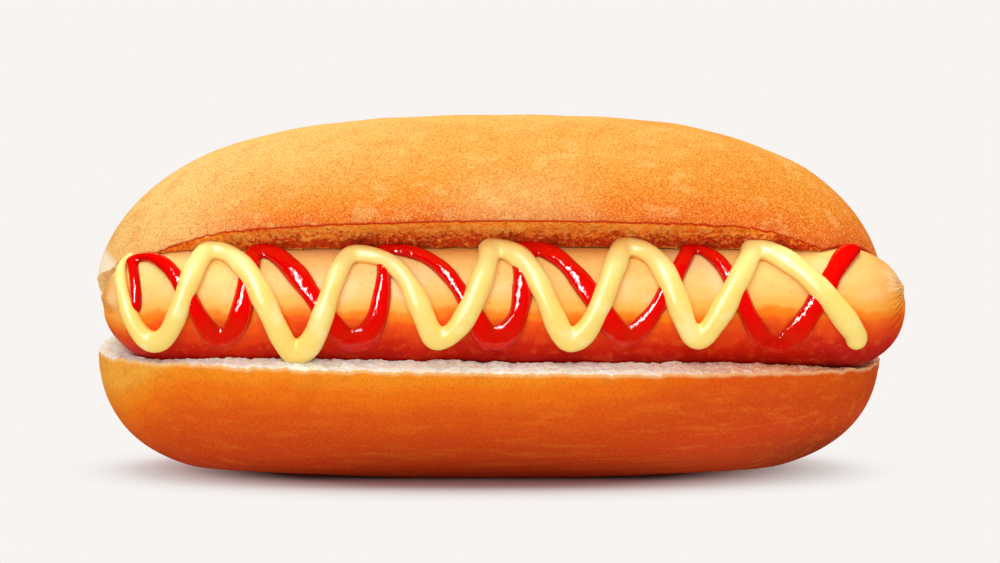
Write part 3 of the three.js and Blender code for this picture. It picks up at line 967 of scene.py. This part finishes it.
def gathered_skin(ring, side, folds):
    """The skin with its folds gathered at each tip and the small knot that ties it off.

    How deep each point lies in a fold, from 0 to 1, is kept in folds.
    """
    along = ring / SAUSAGE_RINGS
    around = side / SAUSAGE_SIDES
    x = lerp(SAUSAGE_LEFT, SAUSAGE_RIGHT, 0.5 - 0.5 * np.cos(math.pi * along))
    to_tip = np.minimum(x - SAUSAGE_LEFT, SAUSAGE_RIGHT - x)
    gather = smooth(1 - to_tip / PLEAT_REACH) * np.minimum(1, to_tip / PLEATS_END)
    around_axis = 2 * math.pi * around
    swell = SKIN_UNEVENNESS * uneven(x * 0.8, 9 * np.cos(around_axis), 9 * np.sin(around_axis))
    middle = sausage_middle(x)
    off_middle = skin_point(x, 360 * around, 0) - middle
    knot_rise = np.where(x < 0, *KNOT_RISE)
    off_knot = np.hypot(off_middle[:, 1], off_middle[:, 2] - knot_rise)
    turn = np.arctan2(off_middle[:, 2] - knot_rise, -off_middle[:, 1])
    wander = np.sin(3 * turn + 0.7) + 0.6 * np.sin(7 * turn + x * 0.2)
    broad = np.cos(PLEAT_COUNT * turn + 0.8 * wander)
    fine = np.cos(FINE_PLEAT_COUNT * turn + 2.2 * wander)
    fine = fine * smooth(off_knot / FINE_PLEATS_START)
    at_tip = (along == 0) | (along == 1)
    shown = np.where(x < 0, *PLEAT_SHARE)
    pleats = gather * shown * (PLEAT_HEIGHT * broad + FINE_PLEAT_HEIGHT * fine)
    ride = np.where(at_tip, 0, pleats + swell * (1 - gather))
    point = skin_point(x, 360 * around, ride)
    knot = smooth(1 - off_knot / KNOT_RADIUS) * smooth(1 - to_tip / KNOT_BACK)
    face = smooth(1 - to_tip / TIP_FACE) * smooth(off_knot / FINE_PLEATS_START)
    point[:, 0] += np.sign(x) * (knot * KNOT_REACH + face * shown * TIP_NOTCH * (fine - 1))
    crease = gather * np.exp(-(((point[:, 2] - CREASE_HEIGHT) / CREASE_WIDTH) ** 2)) * (x < 0)
    point[:, 0] += crease * CREASE_DEPTH
    folds["fold"] = gather * shown * smooth(-fine)
    return point


# ---------------- the sauces' shapes


def sauce_path(turns):
    """The rows (x, degrees, width) along a whole zigzag. It is level at every turn."""
    strokes = []
    for start, end in zip(turns, turns[1:]):
        share = np.linspace(0, 1, STROKE_SAMPLES, endpoint=end is turns[-1])
        to_end = share * share * (3 - 2 * share)
        run_out = share**3 - 2 * share**2 + share
        run_in = share**3 - share**2
        x = lerp(start[0], end[0], to_end) + run_out * start[3] + run_in * end[2]
        degrees = lerp(start[1], end[1], to_end)
        strokes.append(places(x, degrees, lerp(start[4], end[4], to_end)))
    return np.concatenate(strokes)


def even_line(points, step):
    """Points evenly spaced along a line, and each one's share of the old points."""
    lengths = np.concatenate([[0], np.cumsum(np.linalg.norm(np.diff(points, axis=0), axis=1))])
    count = int(lengths[-1] / step)
    wanted = np.linspace(0, lengths[-1], count)
    even = places(*(np.interp(wanted, lengths, values) for values in points.T))
    share = np.interp(wanted, lengths, np.arange(len(points)))
    return even, share


def unit(vectors):
    return vectors / np.linalg.norm(vectors, axis=1)[:, None]


def pipe(sauce, turns, ride, section, material):
    """Lays a sauce along its zigzag on the skin, as one bead with round ends.

    section(degrees, way) gives the bead's half width and half height along it.
    """
    along, degrees, fullness = sauce_path(turns).T
    line = skin_point(along, degrees, ride * np.minimum(1, fullness))
    line, share = even_line(line, BEAD_RING_STEP)
    degrees = np.interp(share, np.arange(len(degrees)), degrees)
    fullness = np.interp(share, np.arange(len(fullness)), fullness)
    half_width, half_height = section(degrees, np.arange(len(line)) * BEAD_RING_STEP)
    half_width = half_width * fullness
    half_height = half_height * np.minimum(1.0, fullness)
    tangent = unit(np.gradient(line, axis=0))
    outward = unit(line - sausage_middle(line[:, 0]))
    sideways = unit(np.cross(tangent, outward))
    upward = np.cross(sideways, tangent)
    cap = BEAD_CAP_RINGS
    rings = len(line) - 1 + 2 * cap

    def place(ring, side):
        station = np.clip(ring - cap, 0, len(line) - 1).astype(int)
        into_cap = np.maximum(np.maximum(cap - ring, ring - (rings - cap)), 0) / cap
        shrink = np.cos(math.pi / 2 * into_cap)[:, None]
        push = np.sin(math.pi / 2 * into_cap) * np.where(ring < rings / 2, -1, 1)
        angle = (2 * math.pi * side / BEAD_SIDES)[:, None]
        width = half_width[station][:, None]
        tall = half_height[station][:, None]
        point = line[station] + tangent[station] * push[:, None] * width
        point = point + sideways[station] * width * shrink * np.cos(angle)
        return point + upward[station] * tall * shrink * np.sin(angle)

    bead = add_ball(sauce + "_zigzag", BEAD_SIDES, rings)
    draw_out(bead, rings, BEAD_SIDES, place)
    apply_modifier(bead, "REMESH", mode="VOXEL", voxel_size=BEAD_VOXEL * MM)
    apply_modifier(bead, "SMOOTH", factor=0.5, iterations=BEAD_SMOOTHING)
    points = points_of(bead) / MM - SHIFT
    middle = sausage_middle(points[:, 0])
    off_axis = np.hypot(points[:, 1] - middle[:, 1], points[:, 2] - middle[:, 2])
    rise = off_axis - sausage_radius(points[:, 0])
    add_measure(bead, "rise", rise / (ride + half_height.max()))
    activate(bead)
    bpy.ops.object.shade_smooth()
    bead.data.materials.append(material)
    hand_over(bead, "sausage")


def mustard_section(degrees, way):
    """A thick round bead, a little uneven."""
    wave = 0.05 * np.sin(way * 0.33 + 0.5) + 0.04 * np.sin(way * 0.81 + 2.0)
    return MUSTARD_BEAD[0] * (1 + wave), MUSTARD_BEAD[1] * (1 + 0.6 * wave)


def ketchup_section(degrees, way):
    """A flatter bead that spreads where it pools at the low turns."""
    wave = 0.08 * np.sin(way * 0.27 + 1.0) + 0.05 * np.sin(way * 0.7)
    low = smooth((POOLS_BELOW - degrees) / POOL_SPAN)
    half_width = KETCHUP_BEAD[0] * (1 + wave + 0.22 * low)
    return half_width, KETCHUP_BEAD[1] * (1 + wave - 0.25 * low)


# ---------------- settings


def color_setting(name, description, default):
    return FloatVectorProperty(
        name=name, description=description, default=default, subtype="COLOR", min=0.0, max=1.0
    )


def strength_setting(name, description, default):
    return FloatProperty(name=name, description=description, default=default, min=0.0)


def length_setting(name, description, default):
    return FloatProperty(name=name, description=description, default=default, unit="LENGTH")


class HotDogBun(bpy.types.PropertyGroup):
    base_color: color_setting("Base", "Colour of the crust at the base", srgb(214, 70, 30))
    crust_color: color_setting(
        "Crust", "Colour of the crown's crust half way up", srgb(244, 154, 50)
    )
    # The pale top colour is partly painted light from above.
    pale_color: color_setting("Top", "Colour of the crust at the very top", srgb(247, 172, 74))
    crumb_color: color_setting("Crumb", "Colour of the fresh crumb", srgb(255, 253, 240))


class HotDogSausage(bpy.types.PropertyGroup):
    # The upper skin's colour is partly painted light from above.
    top_color: color_setting(
        "Upper skin", "Colour of the skin above its middle", srgb(254, 196, 108)
    )


class HotDogMustard(bpy.types.PropertyGroup):
    color: color_setting("Colour", "Colour of the mustard", srgb(253, 222, 118))
    ride: length_setting("Ride", "How high the bead's middle lies above the skin", 1.0 * MM)


class HotDogKetchup(bpy.types.PropertyGroup):
    color: color_setting("Colour", "Colour of the ketchup", srgb(238, 6, 2))
    ride: length_setting("Ride", "How high the bead's middle lies above the skin", 0.35 * MM)


class HotDogStage(bpy.types.PropertyGroup):
    table_color: color_setting(
        "Table", "Colour of the matte table near the food", (0.82, 0.885, 0.9)
    )
    backdrop_color: color_setting("Backdrop", "Colour of the plain backdrop", srgb(248, 244, 241))
    room_light: strength_setting("Room light", "Strength of the even light from all round", 0.34)
    overhead_light: strength_setting(
        "Overhead light", "Strength of the broad light from above", 2.1
    )
    front_light: strength_setting(
        "Front light", "Strength of the broad light from the front", 1.55
    )
    fill_light: strength_setting(
        "Fill light", "Strength of the very soft light that only reaches the food", 0.3
    )
    highlight_light: strength_setting(
        "Highlight", "Power of the narrow light that makes the highlights", 44.0
    )
    camera_distance: length_setting(
        "Camera distance", "From the camera to the point that it looks at", 540 * MM
    )
    camera_elevation: FloatProperty(
        name="Camera elevation",
        description="Angle of the camera above the table",
        default=math.radians(5),
        unit="ROTATION",
    )


class HotDogSettings(bpy.types.PropertyGroup):
    bun: PointerProperty(type=HotDogBun)
    sausage: PointerProperty(type=HotDogSausage)
    mustard: PointerProperty(type=HotDogMustard)
    ketchup: PointerProperty(type=HotDogKetchup)
    stage: PointerProperty(type=HotDogStage)


# ---------------- operators


class HOTDOG_OT_bun(bpy.types.Operator):
    """Bakes the bun, cuts its mouth open and presses the sausage's seat into the crumb"""

    bl_idname = "hot_dog.bun"
    bl_label = "Bun"

    def execute(self, context):
        settings = context.scene.hot_dog.bun
        crumb = crumb_material(settings)
        bun = add_ball("bun_bread", LOAF_SIDES, LOAF_RINGS)
        bun.data.materials.append(crust_material(settings))
        draw_out(bun, LOAF_RINGS, LOAF_SIDES, loaf_point)
        cut_away(bun, mouth_cutter(crumb))
        seat = add_ball("sausage_seat", SAUSAGE_SIDES, SAUSAGE_RINGS)
        seat.data.materials.append(crumb)
        draw_out(seat, SAUSAGE_RINGS, SAUSAGE_SIDES, plain_skin)
        add_measure(seat, "depth", np.full(len(seat.data.vertices), SEAT_DEPTH))
        cut_away(bun, seat)
        measure_lip(bun)
        shade_smooth(bun, SHARPEST_CRUMB)
        hand_over(bun, "bun")
        return {"FINISHED"}


class HOTDOG_OT_sausage(bpy.types.Operator):
    """Makes the frankfurter with its gathered tips"""

    bl_idname = "hot_dog.sausage"
    bl_label = "Frankfurter"

    def execute(self, context):
        folds = {}
        sausage = add_ball("frankfurter", SAUSAGE_SIDES, SAUSAGE_RINGS)
        draw_out(
            sausage, SAUSAGE_RINGS, SAUSAGE_SIDES, lambda *where: gathered_skin(*where, folds)
        )
        add_measure(sausage, "fold", folds["fold"])
        sausage.data.materials.append(skin_material(context.scene.hot_dog.sausage))
        activate(sausage)
        bpy.ops.object.shade_smooth()
        hand_over(sausage, "sausage")
        return {"FINISHED"}


class HOTDOG_OT_ketchup(bpy.types.Operator):
    """Pipes the zigzag of ketchup over the frankfurter"""

    bl_idname = "hot_dog.ketchup"
    bl_label = "Ketchup"

    def execute(self, context):
        settings = context.scene.hot_dog.ketchup
        material = ketchup_material(settings)
        pipe("ketchup", KETCHUP_TURNS, settings.ride / MM, ketchup_section, material)
        return {"FINISHED"}


class HOTDOG_OT_mustard(bpy.types.Operator):
    """Pipes the zigzag of mustard over the frankfurter and the ketchup"""

    bl_idname = "hot_dog.mustard"
    bl_label = "Mustard"

    def execute(self, context):
        settings = context.scene.hot_dog.mustard
        material = mustard_material(settings)
        pipe("mustard", MUSTARD_TURNS, settings.ride / MM, mustard_section, material)
        return {"FINISHED"}


class HOTDOG_OT_stage(bpy.types.Operator):
    """Sets up the table, the backdrop, the lights and the camera"""

    bl_idname = "hot_dog.stage"
    bl_label = "Stage"

    def execute(self, context):
        settings = context.scene.hot_dog.stage
        bpy.ops.object.select_all(action="DESELECT")
        bpy.ops.mesh.primitive_plane_add(size=TABLE_SIZE)
        table = context.object
        table.name = "table"
        table.data.materials.append(floor_material(settings))
        table.visible_glossy = False
        table.visible_shadow = False
        self.add_backdrop(settings)
        world = bpy.data.worlds.new("soft_room")
        world.use_nodes = True
        sky = world.node_tree.nodes["Background"]
        sky.inputs["Color"].default_value = opaque(ROOM_COLOR)
        sky.inputs["Strength"].default_value = settings.room_light
        world.cycles_visibility.glossy = False
        context.scene.world = world
        self.add_sun("overhead", (-10, 0, 0), settings.overhead_light, 50)
        for sun in (
            self.add_sun("front", (58, 0, -8), settings.front_light, 60),
            self.add_sun("fill", (80, 0, 0), settings.fill_light, 150),
        ):
            self.keep_off(sun, table)
        self.add_strip(settings.highlight_light)
        self.add_camera(context, settings)
        context.scene.view_settings.view_transform = "Standard"
        return {"FINISHED"}

    def add_backdrop(self, settings):
        """A plain round backdrop that only the camera sees."""
        backdrop = add_ball("backdrop", 48, 24)
        place_points(backdrop, points_of(backdrop) * BACKDROP_RADIUS)
        backdrop.data.materials.append(backdrop_material(settings))
        for rays in ("diffuse", "glossy", "transmission", "volume_scatter", "shadow"):
            setattr(backdrop, "visible_" + rays, False)

    def add_sun(self, name, tilt_degrees, strength, spread_degrees):
        """A soft distant light. Unturned, it shines straight down."""
        sun = bpy.data.objects.new(name, bpy.data.lights.new(name, "SUN"))
        sun.data.energy = strength
        sun.data.angle = math.radians(spread_degrees)
        sun.rotation_euler = [math.radians(angle) for angle in tilt_degrees]
        sun.visible_glossy = False
        bpy.context.scene.collection.objects.link(sun)
        return sun

    def keep_off(self, light, piece):
        """Flags a light off a piece, so that the light doesn't reach it."""
        flagged = bpy.data.collections.new(light.name + "_flag")
        flagged.objects.link(piece)
        flagged.collection_objects[0].light_linking.link_state = "EXCLUDE"
        light.light_linking.receiver_collection = flagged

    def add_strip(self, power):
        """A tall narrow softbox in front and to the left that only makes highlights."""
        strip = bpy.data.objects.new("strip", bpy.data.lights.new("strip", "AREA"))
        strip.data.shape = "RECTANGLE"
        strip.data.size = STRIP_WIDTH
        strip.data.size_y = STRIP_HEIGHT
        strip.data.energy = power
        strip.visible_diffuse = False
        strip.location = STRIP_PLACE
        strip.rotation_euler = (AIM - STRIP_PLACE).to_track_quat("-Z", "Y").to_euler()
        bpy.context.scene.collection.objects.link(strip)

    def add_camera(self, context, settings):
        camera = bpy.data.objects.new("camera", bpy.data.cameras.new("camera"))
        camera.data.lens = CAMERA_LENS
        camera.data.sensor_width = CAMERA_SENSOR
        elevation = settings.camera_elevation
        back = Vector((0, -math.cos(elevation), math.sin(elevation)))
        camera.location = AIM + back * settings.camera_distance
        camera.rotation_euler = (math.pi / 2 - elevation, 0, 0)
        context.scene.collection.objects.link(camera)
        context.scene.camera = camera


class HOTDOG_PT_panel(bpy.types.Panel):
    """Lists the settings and the pieces"""

    bl_idname = "HOTDOG_PT_panel"
    bl_label = "Hot dog"
    bl_space_type = "VIEW_3D"
    bl_region_type = "UI"
    bl_category = "Hot dog"

    def draw(self, context):
        for name, operator in PIECES:
            group = getattr(context.scene.hot_dog, name)
            box = self.layout.box()
            for setting in group.bl_rna.properties:
                if setting.identifier not in ("rna_type", "name"):
                    box.prop(group, setting.identifier)
            box.operator(operator.bl_idname)


PIECES = [
    ("stage", HOTDOG_OT_stage),
    ("bun", HOTDOG_OT_bun),
    ("sausage", HOTDOG_OT_sausage),
    ("ketchup", HOTDOG_OT_ketchup),
    ("mustard", HOTDOG_OT_mustard),
]
CLASSES = [
    HotDogBun,
    HotDogSausage,
    HotDogMustard,
    HotDogKetchup,
    HotDogStage,
    HotDogSettings,
    *(operator for _, operator in PIECES),
    HOTDOG_PT_panel,
]


def register():
    for each in CLASSES:
        bpy.utils.register_class(each)
    bpy.types.Scene.hot_dog = PointerProperty(type=HotDogSettings)


def unregister():
    del bpy.types.Scene.hot_dog
    for each in reversed(CLASSES):
        bpy.utils.unregister_class(each)


def main():
    """Registers the add-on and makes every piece."""
    register()
    bpy.ops.hot_dog.stage()
    bpy.ops.hot_dog.bun()
    bpy.ops.hot_dog.sausage()
    bpy.ops.hot_dog.ketchup()
    bpy.ops.hot_dog.mustard()


if __name__ == "__main__":
    main()
